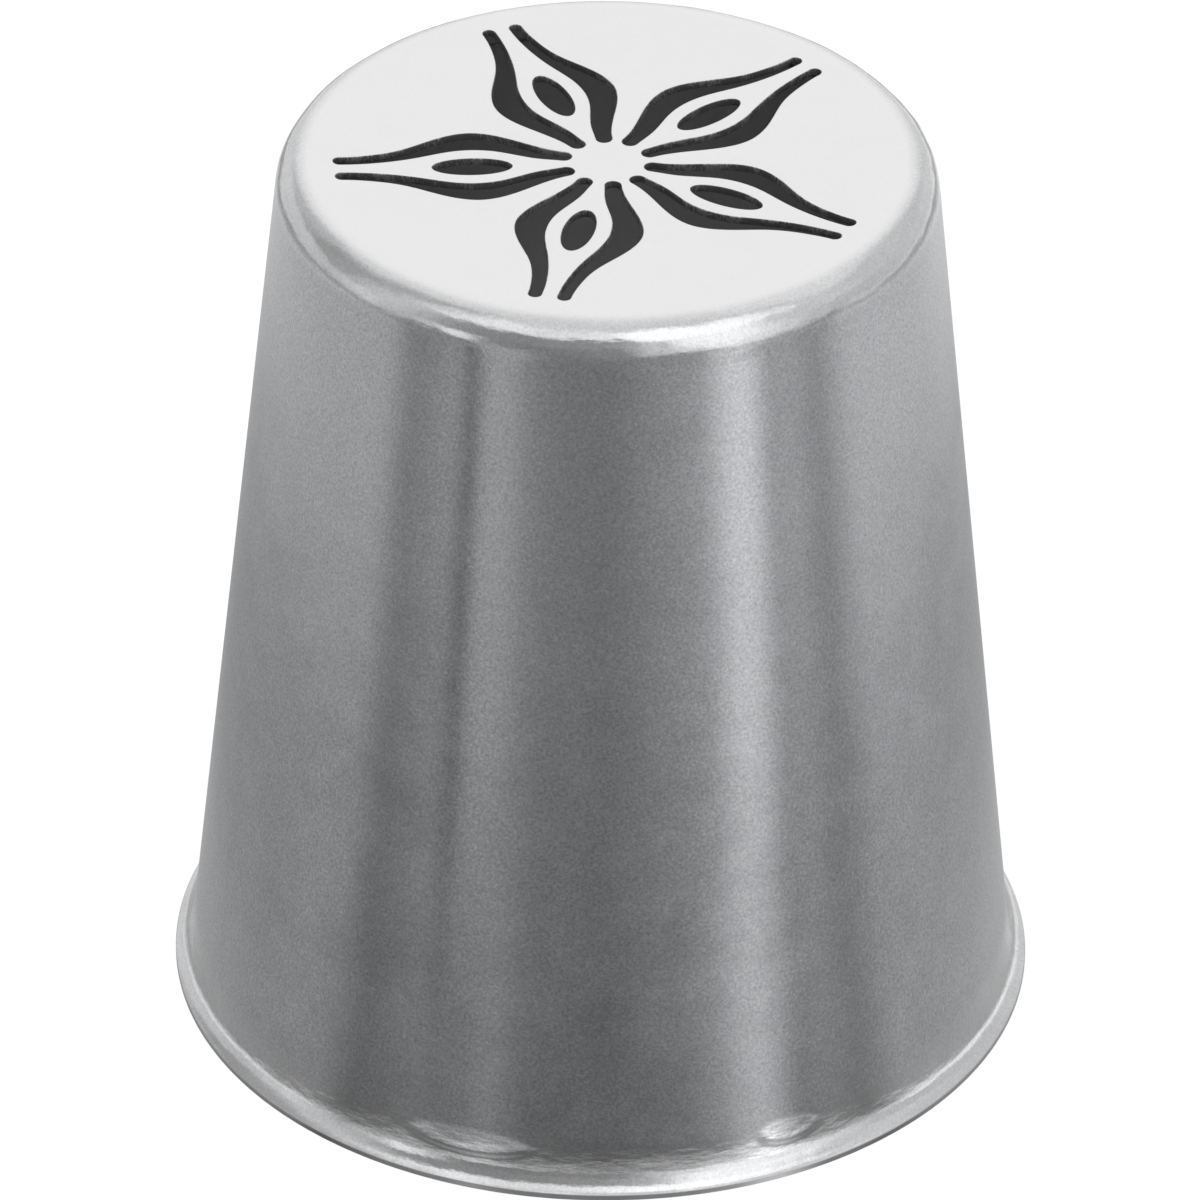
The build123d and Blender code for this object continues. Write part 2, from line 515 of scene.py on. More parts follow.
def ground_steel_with_foot_shade():
    """The edge that the nozzle stands on: fine rings from the grinding wheel, and a darker colour that
    is partly painted shade at the foot.
    """
    material, tree, shader = new_steel("ground_steel_with_foot_shade")
    place = object_place(tree)
    axes = axes_of(tree, place)
    radius = length(tree, level(tree, axes["X"], axes["Y"]))
    rings = add(tree, "ShaderNodeCombineXYZ", {"X": radius, "Z": axes["Z"]}).outputs[0]
    scratches = noise(tree, rings, 0.03 * MM, 2.0, 0.6)
    # Painted shade: the foot's colours are darker than the skirt's, standing in for the dark line of
    # shade along the bottom of the rim.
    colour = colour_between(tree, noise(tree, place, 1.5 * MM, 2.0, 0.5), *GROUND_AND_FOOT_SHADE_COLOURS)
    rough = value_between(tree, scratches, 0.30, 0.45)
    finish_steel(tree, shader, colour, rough, scratches, 0.003 * MM)
    return material


def weld_steel():
    """A weld as it cooled: dull, a little straw-coloured, never cleaned."""
    material, tree, shader = new_steel("weld_steel")
    grain = grain_nodes(tree, 0.10 * MM, 1.2 * MM, 0.5)
    colour = scaled(tree, colour_between(tree, grain["Cloud"], *WELD_COLOURS), grain["Speckle"])
    rough = value_between(tree, grain["Cloud"], 0.32, 0.48)
    finish_steel(tree, shader, colour, rough, grain["Height"], 0.004 * MM)
    return material


# %% Number the finishes
FINISHES = {
    "Satin": SATIN,
    "Polished": POLISHED,
    "Ground": ground_steel_with_foot_shade(),
    "Inside": inside_steel(),
    "Cut": cut_steel(),
    "Weld": weld_steel(),
}
SATIN_MARK, POLISHED_MARK, GROUND_MARK, INSIDE_MARK, CUT_MARK, WELD_MARK = range(6)
MARK = "surface"

# %% [markdown]
# ## The lathe
#
# Skirt and weld are both turned forms, so one Geometry Nodes tree makes both: the
# half section is swept round a circle. Each point of the section carries a mark
# that says outside, cut edge or inside, and the tree turns the marks into finishes.
# The circle has a radius of its own, which the section's points are measured from.

# %% Lathe tree
RAIL_RADIUS = 10 * MM


def new_geometry_tree(name, takes):
    """A tree that takes a geometry and its sizes, and gives a geometry."""
    takes = {"Geometry": "NodeSocketGeometry", **takes}
    return new_group(name, "GeometryNodeTree", takes, ["Geometry"], "NodeSocketGeometry")


def mark_of(tree):
    """The mark of a place on the surface."""
    return add(tree, "GeometryNodeInputNamedAttribute", {"Name": MARK}, data_type="FLOAT").outputs[0]


def set_finishes(tree, geometry, takes):
    """The end of every tree: one solid mesh, with a finish for each mark."""
    mark = mark_of(tree)
    solid = add(tree, "GeometryNodeRealizeInstances", {"Geometry": geometry}).outputs[0]
    for number, title in enumerate(FINISHES):
        chosen = math_node(tree, "GREATER_THAN", mark, number - 0.4)
        inputs = {"Geometry": solid, "Selection": chosen, "Material": takes[title]}
        solid = add(tree, "GeometryNodeSetMaterial", inputs).outputs[0]
    return solid


FINISH_SOCKETS = {title: "NodeSocketMaterial" for title in FINISHES}


def lathe_tree():
    sizes = {"Segments": 320, "Rail Radius": RAIL_RADIUS}
    tree, takes, gives = new_geometry_tree("Lathe", {**sizes, **FINISH_SOCKETS})
    section = add(tree, "GeometryNodeMeshToCurve", {"Mesh": takes["Geometry"]}).outputs[0]
    inputs = {"Resolution": takes["Segments"], "Radius": takes["Rail Radius"]}
    rail = add(tree, "GeometryNodeCurvePrimitiveCircle", inputs).outputs[0]
    upright = add(tree, "GeometryNodeSetCurveNormal", {"Curve": rail}, mode="Z_UP").outputs[0]
    inputs = {"Curve": upright, "Profile Curve": section}
    turned = add(tree, "GeometryNodeCurveToMesh", inputs).outputs[0]
    tree.links.new(set_finishes(tree, turned, takes), gives["Geometry"])
    return tree


LATHE = lathe_tree()
print("lathe tree:", len(LATHE.nodes), "nodes, one finish for each of", list(FINISHES))

# %% [markdown]
# ## Hand finish
#
# After spinning and welding, the shoulder and the rim are held against a polishing
# wheel by hand, so they are never quite true. The waves are a few hundredths of a
# millimetre deep. Nobody feels them, but a mirror shows them: the highlight round
# the shoulder runs ragged. A bump map would bend the light and leave the mesh
# perfect. Here a small tree moves the points themselves, between two heights, and
# only on the outside.

# %% Hand finish tree
WAVE_LENGTH = 2.6 * MM
WAVE_FLATNESS = 2.0
WAVE_DEPTH = 0.13 * MM


def outer_only(tree):
    """1 on the outside, 0 on the cut edges and the inside."""
    return math_node(tree, "LESS_THAN", mark_of(tree), POLISHED_MARK + 0.5)


def finish_moved(tree, takes, gives, direction, distance):
    """The end of a tree that only moves the surface, by a distance in a direction."""
    inputs = {"Geometry": takes["Geometry"], "Offset": scaled(tree, direction, distance)}
    moved = add(tree, "GeometryNodeSetPosition", inputs).outputs[0]
    tree.links.new(moved, gives["Geometry"])
    return tree


def product(tree, *values):
    """Several values multiplied."""
    result = values[0]
    for value in values[1:]:
        result = math_node(tree, "MULTIPLY", result, value)
    return result


def hand_finish_tree():
    """Moves the surface in low uneven waves, where hands and wheels have worked it."""
    heights = dict.fromkeys(("Low Start", "Full From", "Full To", "High End"), 0.0)
    sizes = {"Depth": WAVE_DEPTH, "Wave Length": WAVE_LENGTH, **heights, "Seed": 3.0}
    tree, takes, gives = new_geometry_tree("Hand finish", sizes)
    place = add(tree, "GeometryNodeInputPosition").outputs[0]
    height = axes_of(tree, place)["Z"]
    flat = vector_node(tree, "MULTIPLY", place, (1, 1, WAVE_FLATNESS))
    per_metre = math_node(tree, "DIVIDE", 1.0, takes["Wave Length"])
    inputs = {"Vector": flat, "W": takes["Seed"], "Scale": per_metre, "Detail": 2.0, "Roughness": 0.45}
    wave = add(tree, "ShaderNodeTexNoise", inputs, noise_dimensions="4D").outputs["Fac"]
    climb = between(tree, height, takes["Low Start"], takes["Full From"])
    fall = between(tree, height, takes["High End"], takes["Full To"])
    distance = product(tree, climb, fall, outer_only(tree), swing(tree, wave), takes["Depth"])
    normal = add(tree, "GeometryNodeInputNormal").outputs[0]
    return finish_moved(tree, takes, gives, normal, distance)


HAND_FINISH = hand_finish_tree()
print(f"hand finish: waves {WAVE_LENGTH / MM:.1f} mm long, up to {WAVE_DEPTH / 2 / MM:.3f} mm in or out")


# %% Turn a half section
def turn(name, section, marks, segments):
    """Turns a closed half section on the lathe tree. The section is (radius, height)."""
    points = [(p.x - RAIL_RADIUS, -p.y, 0) for p in section]
    edges = [(i, (i + 1) % len(points)) for i in range(len(points))]
    obj = new_object(name, points, edges, [])
    obj.data.attributes.new(MARK, "FLOAT", "POINT").data.foreach_set("value", marks)
    give_tree(obj, LATHE, {"Segments": segments, **FINISHES})
    return obj


# %% [markdown]
# ## The skirt
#
# The section runs down the outside, round the gentle flare and the tight lip, over
# the ground edge that the nozzle stands on, and back up the inside. The wall is
# straight, but its last stretch above the flare is divided finely, because the
# flats and the waves of the next steps move its points.


# %% Turn the skirt
def line(start, end, steps):
    """Points along a straight line, the start left out."""
    return [start.lerp(end, (i + 1) / steps) for i in range(steps)]


def bow(start, pull, end, steps):
    """A small curve that leaves the start and reaches the end in line with one pulling point."""
    share = [i / steps for i in range(steps + 1)]
    return [start * (1 - s) ** 2 + pull * 2 * s * (1 - s) + end * s**2 for s in share]


def corner(before, point, after):
    """A corner rounded by a small curve that touches both of its sides."""
    start = point + (before - point).normalized() * EDGE_ROUND
    end = point + (after - point).normalized() * EDGE_ROUND
    return bow(start, point, end, 3)


def flare_arcs(depth, end_angle):
    """The gentle bend and the tight lip, from the wall to the rim."""
    bend = arc(flare_centre, FLARE_RADIUS + depth, 180 + TAPER, FLARE_ANGLE - TAPER, 12)
    lip = arc(lip_centre, LIP_RADIUS + depth, 180 + FLARE_ANGLE, end_angle - FLARE_ANGLE, 14)
    return bend[1:] + lip[1:]


WORKED_HEIGHT = 2.0 * MM


def shell_section():
    """The skirt's closed half section and the mark of each of its points."""
    inner_end_angle = math.degrees(math.asin(lip_centre.y / (LIP_RADIUS + SHEET)))
    inner_lip = flare_arcs(SHEET, inner_end_angle)[::-1]
    outer_lip = flare_arcs(0, LIP_ANGLE)
    foot = Vector((BASE_RADIUS, 0))
    worked = on_flare(0) - wall_down * WORKED_HEIGHT
    wall = [shell_edge] + line(shell_edge, worked, 12) + line(worked, on_flare(0), 18)
    lip = outer_lip[:-1]
    edge = (
        corner(outer_lip[-2], outer_lip[-1], foot)
        + corner(outer_lip[-1], foot, inner_lip[0])
        + corner(foot, inner_lip[0], inner_lip[1])
    )
    inside = inner_lip[1:] + line(on_flare(SHEET), shell_root, 12)
    outside = wall + lip
    marks = [SATIN_MARK] * len(wall) + [POLISHED_MARK] * len(lip)
    marks += [GROUND_MARK] * len(edge) + [INSIDE_MARK] * len(inside)
    return outside + edge + inside, marks


shell_points, shell_marks = shell_section()
print("skirt section:", len(shell_points), "points")

# %% [markdown]
# ## Rolled flats
#
# The flare is bent by a roller that is pressed against the turning skirt. Where it
# was lifted off and set down again it leaves a small flat, shaped like a lens, that
# catches the light above the rim. The flats could be modelled into the section,
# but the section is the same all the way round. So each is one more small tree on
# the finished skirt: it leans the surface out towards the rim, then steps back.


# %% Rolled flats at the flare
def seen_angle(tree, x, y):
    """The direction of a place, in radians from the camera's side, right positive."""
    return math_node(tree, "ARCTAN2", x, math_node(tree, "MULTIPLY", y, -1.0))


def rolled_flat_tree():
    """A small flat where the spinning roller rested: it leans out, then steps back."""
    sizes = {
        "Direction": 0.0,
        "Half Width": 2.0 * MM,
        "Middle Height": 1.75 * MM,
        "Half Height": 0.6 * MM,
        "Lift": 0.1 * MM,
    }
    tree, takes, gives = new_geometry_tree("Rolled flat", sizes)
    axes = axes_of(tree, add(tree, "GeometryNodeInputPosition").outputs[0])
    flat = level(tree, axes["X"], axes["Y"])
    turned = math_node(tree, "SUBTRACT", seen_angle(tree, axes["X"], axes["Y"]), takes["Direction"])
    across = math_node(tree, "DIVIDE", product(tree, turned, length(tree, flat)), takes["Half Width"])
    up = math_node(tree, "SUBTRACT", axes["Z"], takes["Middle Height"])
    up = math_node(tree, "DIVIDE", up, takes["Half Height"])
    away = math_node(tree, "ADD", *(math_node(tree, "POWER", share, 2.0) for share in (across, up)))
    within = between(tree, away, 1.05, 0.45)
    lean = math_node(tree, "MULTIPLY_ADD", up, -0.5, 0.5)
    lift = product(tree, lean, within, takes["Lift"], outer_only(tree))
    return finish_moved(tree, takes, gives, vector_node(tree, "NORMALIZE", flat), lift)


ROLLED_FLAT = rolled_flat_tree()
FLATS = [(-18, 2.8 * MM), (27, 1.5 * MM), (148, 2.2 * MM)]


# %% Turn the skirt on the lathe
SEGMENTS = 400
cone_shell = turn("satin_skirt", shell_points, shell_marks, 2 * SEGMENTS)
for direction, half_width in FLATS:
    give_tree(cone_shell, ROLLED_FLAT, {"Direction": math.radians(direction), "Half Width": half_width})
rim_heights = {"Low Start": 0.1 * MM, "Full From": 0.25 * MM, "Full To": 1.2 * MM, "High End": 2.6 * MM}
give_tree(cone_shell, HAND_FINISH, {"Depth": 0.05 * MM, **rim_heights})
settle(cone_shell)


# %% [markdown]
# ## The weld
#
# Cap and skirt meet in a narrow groove, and the weld fills it. Outside it is ground
# flush, so it disappears in the satin. Inside it stays as it cooled: a low crown
# with one small scale for each pulse of the arc. The crown is part of the turned
# section, and the scales are a tree again, because they repeat round the ring.


# %% Turn the weld
def bead_section():
    """The weld's closed half section: flush outside, crowned inside."""
    middle = on_wall(CAP_SKIRT + WELD_FACE_WIDTH / 2, SHEET + 2 * WELD_ROOT_CROWN)
    crown = bow(shell_root, middle, cap_root, 12)
    outside = [cap_edge] + line(cap_edge, shell_edge, 4)
    marks = [SATIN_MARK] * len(outside) + [WELD_MARK] * len(crown)
    return outside + crown, marks


# %% Scales on the weld's root
def weld_ripple_tree():
    """Low scales on the weld's root, one for each pulse of the arc, bowed across the bead."""
    sizes = {
        "Count": 133.0,
        "Depth": 0.02 * MM,
        "Bow": 0.6,
        "Low Edge": shell_root.y,
        "High Edge": cap_root.y,
    }
    tree, takes, gives = new_geometry_tree("Weld ripples", sizes)
    axes = axes_of(tree, add(tree, "GeometryNodeInputPosition").outputs[0])
    inputs = {
        "Value": axes["Z"],
        "From Min": takes["Low Edge"],
        "From Max": takes["High Edge"],
        "To Min": -1.0,
    }
    across = math_node(tree, "POWER", add(tree, "ShaderNodeMapRange", inputs).outputs[0], 2.0)
    half_turn = math_node(tree, "MULTIPLY", math_node(tree, "ARCTAN2", axes["Y"], axes["X"]), 0.5)
    bow = product(tree, across, takes["Bow"], math.pi)
    wave = math_node(tree, "SINE", math_node(tree, "MULTIPLY_ADD", half_turn, takes["Count"], bow))
    sunk = math_node(tree, "SUBTRACT", math_node(tree, "ABSOLUTE", wave), 1.0)
    root = math_node(tree, "GREATER_THAN", mark_of(tree), WELD_MARK - 0.5)
    middle = math_node(tree, "SUBTRACT", 1.0, across)
    sunk = product(tree, sunk, middle, root, takes["Depth"])
    normal = add(tree, "GeometryNodeInputNormal").outputs[0]
    return finish_moved(tree, takes, gives, normal, sunk)


WELD_RIPPLES = weld_ripple_tree()
weld_bead = turn("weld_ring", *bead_section(), 3 * SEGMENTS)
give_tree(weld_bead, WELD_RIPPLES, {})
settle(weld_bead)

# %% [markdown]
# ## The cut face
#
# The flower repeats five times, so only one fifth of the cap is drawn: a wedge with
# two S-curved slots and an oval. A cut in steel sheet has a tiny round on its
# edges, and that round is what catches the light, so each outline becomes a stack
# of rings that roll from the face into the cut.

# %% Outlines of one petal
CENTRE_LAND_RADIUS = 1.37 * MM
TIP_MARGIN = 0.79 * MM
PETAL_HALF_WIDTH = 2.48 * MM
SLOT_ROOT_RADIUS = 0.31 * MM
SLOT_TIP_RADIUS = 0.25 * MM
SLOT_ROOT_TILT = 15
OVAL_HALF_LENGTH = 1.56 * MM
OVAL_HALF_WIDTH = 0.60 * MM
CREST_SHARE = 0.423
SLOT_END_SHARE = 0.23
OUTER_EDGE_SHARES = [(CREST_SHARE, 1.0), (0.536, 0.885), (0.725, 0.508), (0.860, 0.372)]
INNER_EDGE_SHARES = [(0.643, 0.317), (0.489, 0.487), (0.320, 0.458), (0.147, 0.203)]
slot_length = shoulder_centre.x - TIP_MARGIN - CENTRE_LAND_RADIUS


def petal_point(along_share, across_share):
    """Point of the petal that lies along +X, from its shares of length and half width."""
    return Vector((CENTRE_LAND_RADIUS + slot_length * along_share, PETAL_HALF_WIDTH * across_share))


def smooth_curve(points, start_angle, end_angle, steps):
    """A smooth curve through points, with a direction at each end. The ends are left out."""
    p = np.array([tuple(q) for q in points])
    gaps = np.linalg.norm(np.diff(p, axis=0), axis=1)
    last = len(p) - 1
    rows = np.zeros((len(p), len(p)))
    wanted = np.zeros((len(p), 2))
    rows[0, 0] = rows[last, last] = 1
    wanted[0], wanted[last] = toward(start_angle), toward(end_angle)
    for i in range(1, last):
        before, after = gaps[i - 1], gaps[i]
        rows[i, i - 1 : i + 2] = after, 2 * (before + after), before
        wanted[i] = 3 * (after * (p[i] - p[i - 1]) / before + before * (p[i + 1] - p[i]) / after)
    slopes = np.linalg.solve(rows, wanted)
    curve = []
    along = np.concatenate([[0], np.cumsum(gaps)])
    for distance in np.linspace(0, along[-1], steps + 1)[1:-1]:
        i = min(int(np.searchsorted(along, distance)) - 1, last - 1)
        t = (distance - along[i]) / gaps[i]
        curve.append(Vector(
            (2 * t**3 - 3 * t**2 + 1) * p[i] + (t**3 - 2 * t**2 + t) * gaps[i] * slopes[i]
            + (3 * t**2 - 2 * t**3) * p[i + 1] + (t**3 - t**2) * gaps[i] * slopes[i + 1]
        ))
    return curve


def slot_outline():
    """One slot, counter-clockwise: inner edge outwards, tip, outer edge back, root."""
    root_centre = petal_point(0, SLOT_END_SHARE) + Vector((SLOT_ROOT_RADIUS, 0))
    tip_centre = petal_point(1, SLOT_END_SHARE) - Vector((SLOT_TIP_RADIUS, 0))
    root = arc(root_centre, SLOT_ROOT_RADIUS, 90 + SLOT_ROOT_TILT, 180, 18)
    tip = arc(tip_centre, SLOT_TIP_RADIUS, -90, 180, 18)
    outer = [root[0]] + [petal_point(*s) for s in OUTER_EDGE_SHARES] + [tip[-1]]
    inner = [tip[0]] + [petal_point(*s) for s in INNER_EDGE_SHARES] + [root[-1]]
    outer_edge = smooth_curve(outer, SLOT_ROOT_TILT, 0, 64)
    inner_edge = smooth_curve(inner, 180, 180 + SLOT_ROOT_TILT, 64)
    return inner_edge[::-1] + tip + outer_edge[::-1] + root


def oval_outline(steps=72):
    """The oval on the petal's middle line, counter-clockwise."""
    middle = petal_point(CREST_SHARE, 0)
    turns = [toward(360 * i / steps) for i in range(steps)]
    return [middle + Vector((u.x * OVAL_HALF_LENGTH, u.y * OVAL_HALF_WIDTH)) for u in turns]


slot = slot_outline()
mirrored_slot = [Vector((p.x, -p.y)) for p in reversed(slot)]
OUTLINES = [slot, mirrored_slot, oval_outline()]
print("petal outlines:", [len(o) for o in OUTLINES], "points")

# %% [markdown]
# ## One fifth of the cap
#
# The face around the cuts is filled with near-equal triangles. Long thin triangles
# would do for a flat drawing, but the face is slightly dished and mirrors the
# room, and there they would show. A Delaunay fill of evenly spread points gives
# the calm surface that a polished face needs. The same fill, turned over, is the
# inside of the sheet, and rings and rows join the two.

# %% Build the wedge
FILL_SPACING = 0.3 * MM
WEDGE_SEGMENTS = SEGMENTS // PETALS


def grow(outline, distance):
    """The outline moved outwards, into the metal."""
    grown = []
    for i, point in enumerate(outline):
        run = (outline[(i + 1) % len(outline)] - outline[i - 1]).normalized()
        grown.append(point + Vector((run.y, -run.x)) * distance)
    return grown


def wedge_edge():
    """The wedge's boundary: out along one side, round the rim of the face, and back."""
    steps = round(FACE_RADIUS / FILL_SPACING)
    out = [toward(-FIFTH / 2) * (FACE_RADIUS * i / steps) for i in range(steps)]
    rim = arc(Vector((0, 0)), FACE_RADIUS, -FIFTH / 2, FIFTH, WEDGE_SEGMENTS)
    back = [toward(FIFTH / 2) * (FACE_RADIUS * i / steps) for i in range(steps - 1, 0, -1)]
    return out, rim, back


def fill_points(fixed):
    """Evenly spread points inside the wedge, clear of the fixed ones."""
    columns = np.arange(0, FACE_RADIUS, FILL_SPACING)
    row_gap = FILL_SPACING * math.sqrt(3) / 2
    rows = np.arange(-round(FACE_RADIUS / row_gap), round(FACE_RADIUS / row_gap) + 1)
    grid = np.array([(x + (r % 2) * FILL_SPACING / 2, r * row_gap) for r in rows for x in columns])
    radius = np.linalg.norm(grid, axis=1)
    turn_by = np.degrees(np.arctan2(grid[:, 1], grid[:, 0]))
    grid = grid[(radius < FACE_RADIUS) & (abs(turn_by) < FIFTH / 2)]
    nearest = np.linalg.norm(grid[:, None] - fixed[None], axis=2).min(axis=1)
    return grid[nearest > 0.6 * FILL_SPACING]


def inside_any(point, outlines):
    """True where a point lies in one of the openings."""
    found = False
    for outline in outlines:
        odd = False
        for i, a in enumerate(outline):
            b = outline[i - 1]
            if (a.y > point[1]) != (b.y > point[1]):
                odd ^= point[0] < a.x + (point[1] - a.y) / (b.y - a.y) * (b.x - a.x)
        found = found or odd
    return found


def on_dish(point, depth):
    """The place on the dished face of a point of the flat drawing, at a depth in the sheet."""
    lean = math.asin(math.hypot(*point) / dish_radius)
    radius = dish_radius + depth
    reach = radius / dish_radius
    return (point[0] * reach, point[1] * reach, dish_centre.y - radius * math.cos(lean))


def cap_rows():
    """Rows of the cap outside its face: shoulder and skirt, then back up the inside."""
    sweep = 90 + dish_sweep - TAPER
    shoulder = arc(shoulder_centre, SHOULDER_RADIUS, 90 + dish_sweep, -sweep, 28)[1:]
    outside = shoulder + line(on_wall(0, 0), cap_edge, 3)
    inner_shoulder = arc(shoulder_centre, SHOULDER_RADIUS - SHEET, TAPER, sweep, 20)[:-1]
    inside = [cap_root] + line(cap_root, on_wall(0, SHEET), 2)[:-1] + inner_shoulder
    marks = [POLISHED_MARK] * len(shoulder) + [SATIN_MARK] * (len(outside) - len(shoulder))
    return outside + inside, marks + [CUT_MARK] + [INSIDE_MARK] * (len(inside) - 1)


def edge_rings(outline):
    """Rings from the face down through the cut: (outline, depth), first and last on the faces."""
    quarter = [toward(a) * EDGE_ROUND for a in (0, 30, 60, 90)]
    top = [(EDGE_ROUND - u.y, EDGE_ROUND - u.x) for u in quarter]
    levels = top + [(0, SHEET / 2)] + [(away, SHEET - depth) for away, depth in reversed(top)]
    return [(grow(outline, away), depth) for away, depth in levels]


def build_wedge():
    """Vertices, faces and marks of one fifth of the cap, with the petal on +X."""
    out, rim, back = wedge_edge()
    loops = [out + rim + back] + [grow(o, EDGE_ROUND) for o in OUTLINES]
    fixed = [p for loop in loops for p in loop]
    edges, first = [], 0
    for loop in loops:
        edges += [(first + i, first + (i + 1) % len(loop)) for i in range(len(loop))]
        first += len(loop)
    spread = fill_points(np.array([tuple(p) for p in fixed]))
    drawn = fixed + [Vector(p) for p in spread if not inside_any(p, OUTLINES)]
    flat, _, triangles, source, _, _ = delaunay_2d_cdt([p / MM for p in drawn], edges, [], 1, 1e-7)
    index = {s: i for i, sources in enumerate(source) for s in sources}
    flat = [tuple(p * MM) for p in flat]
    grown = loops[1:]
    middles = [np.mean([flat[i] for i in t], axis=0) for t in triangles]
    triangles = [t for t, middle in zip(triangles, middles) if not inside_any(middle, grown)]
    points = [on_dish(p, 0) for p in flat] + [on_dish(p, SHEET) for p in flat]
    under = len(flat)
    faces = [tuple(t) for t in triangles]
    faces += [tuple(i + under for i in reversed(t)) for t in triangles]
    marks = [POLISHED_MARK] * len(triangles) + [INSIDE_MARK] * len(triangles)

    def join(first_row, second_row, closed, mark):
        count = len(first_row) if closed else len(first_row) - 1
        for i in range(count):
            j = (i + 1) % len(first_row)
            faces.append((first_row[i], first_row[j], second_row[j], second_row[i]))
            marks.append(mark)

    def add_row(places):
        points.extend(places)
        return list(range(len(points) - len(places), len(points)))

    first = len(loops[0])
    for outline in OUTLINES:
        top = [index[first + i] for i in range(len(outline))]
        row = top
        for ring, depth in edge_rings(outline)[1:-1]:
            following = add_row([on_dish(p, depth) for p in ring])
            join(row, following, True, CUT_MARK)
            row = following
        join(row, [i + under for i in top], True, CUT_MARK)
        first += len(outline)

    rim_row = [index[len(out) + i] for i in range(len(rim))]
    row = rim_row
    angles = [-FIFTH / 2 + FIFTH * i / WEDGE_SEGMENTS for i in range(WEDGE_SEGMENTS + 1)]
    for place, mark in zip(*cap_rows()):
        ring = [toward(a) * place.x for a in angles]
        following = add_row([(p.x, p.y, place.y) for p in ring])
        join(row, following, False, mark)
        row = following
    join(row, [i + under for i in rim_row], False, INSIDE_MARK)
    return points, faces, marks


def wedge_object(name):
    points, faces, marks = build_wedge()
    obj = new_object(name, points, [], faces)
    obj.data.attributes.new(MARK, "FLOAT", "FACE").data.foreach_set("value", marks)
    print(f"{name}: one fifth has {len(points)} points and {len(faces)} faces")
    return obj


face_cap = wedge_object("flower_cap")

# %% [markdown]
# ## All five petals
#
# The wedge is instanced five times round the axis, made real, and sewn along the
# seams where the copies' points meet. One wedge is easier to get right than a whole
# face, and the petals come out identical, as a laser cuts them.


# %% Repeat the wedge round the axis
def repeat_tree():
    sizes = {"Count": PETALS, "First Direction": 0.0, "Seam Gap": 0.001 * MM}
    tree, takes, gives = new_geometry_tree("Repeat round the axis", {**sizes, **FINISH_SOCKETS})
    points = add(tree, "GeometryNodePoints", {"Count": takes["Count"]}).outputs[0]
    step = math_node(tree, "DIVIDE", 2 * math.pi, takes["Count"])
    number = add(tree, "GeometryNodeInputIndex").outputs[0]
    angle = math_node(tree, "MULTIPLY_ADD", number, step, takes["First Direction"])
    euler = add(tree, "ShaderNodeCombineXYZ", {"Z": angle}).outputs[0]
    rotation = add(tree, "FunctionNodeEulerToRotation", {0: euler}).outputs[0]
    inputs = {"Points": points, "Instance": takes["Geometry"], "Rotation": rotation}
    ring = add(tree, "GeometryNodeInstanceOnPoints", inputs).outputs[0]
    solid = add(tree, "GeometryNodeRealizeInstances", {"Geometry": ring}).outputs[0]
    inputs = {"Geometry": solid, "Distance": takes["Seam Gap"]}
    merged = add(tree, "GeometryNodeMergeByDistance", inputs).outputs[0]
    tree.links.new(set_finishes(tree, merged, takes), gives["Geometry"])
    return tree


REPEAT = repeat_tree()
give_tree(face_cap, REPEAT, {"First Direction": math.radians(PETAL_DIRECTION), **FINISHES})
heights = {"Low Start": 36.1 * MM, "Full From": 36.4 * MM, "Full To": 37.5 * MM, "High End": 37.8 * MM}
give_tree(face_cap, HAND_FINISH, heights)
settle(face_cap)

# %% [markdown]
# ## Closed and facing outwards
#
# Steel sheet has two sides and no holes but the cut ones, so each mesh must be one
# closed skin. An edge with only one face, or a skin turned inside out, would show
# in the reflections and in the exported mesh. The check counts such edges and
# measures the volume of steel. Then each piece takes the place of its CAD node.

# %% Check that the meshes are closed and face outwards
import bmesh


def point_outwards(obj):
    """Recalculates the normals of a closed mesh and reports any open edge."""
    work = bmesh.new()
    work.from_mesh(obj.data)
    bmesh.ops.recalc_face_normals(work, faces=work.faces)
    open_edges = sum(1 for e in work.edges if len(e.link_faces) != 2)
    volume = work.calc_volume(signed=True)
    if volume < 0:
        bmesh.ops.reverse_faces(work, faces=work.faces)
    work.to_mesh(obj.data)
    work.free()
    obj.data.set_sharp_from_angle(angle=CREASE)
    print(f"{obj.name}: {open_edges} open edges, {abs(volume) / MM**3:.1f} mm3 of steel")


for piece, node, slot_name in (
    (face_cap, "face_cap", "face_steel"),
    (cone_shell, "cone_shell", "satin_steel"),
    (weld_bead, "weld_bead", "weld_steel"),
):
    point_outwards(piece)
    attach(piece, "root")
    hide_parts(node)

# %% [markdown]
# ## Camera
#
# The photograph was taken with a long lens from about 34 degrees above the table.
# Distance, height and tilt were found by laying the nozzle's known circles over the
# ones in the picture: the rim, the mouth and the tips of the petals. The camera is
# built from its looking direction and its two side directions.

# %% Camera
CAMERA_AIM_HEIGHT = 18.933 * MM
CAMERA_DISTANCE = 380.25 * MM
CAMERA_ELEVATION = math.radians(33.689)
CAMERA_ROLL = math.radians(0.541)
CAMERA_PAN = 0.0004
CAMERA_TILT = -0.004245
LENS = 284.2
SENSOR = 36


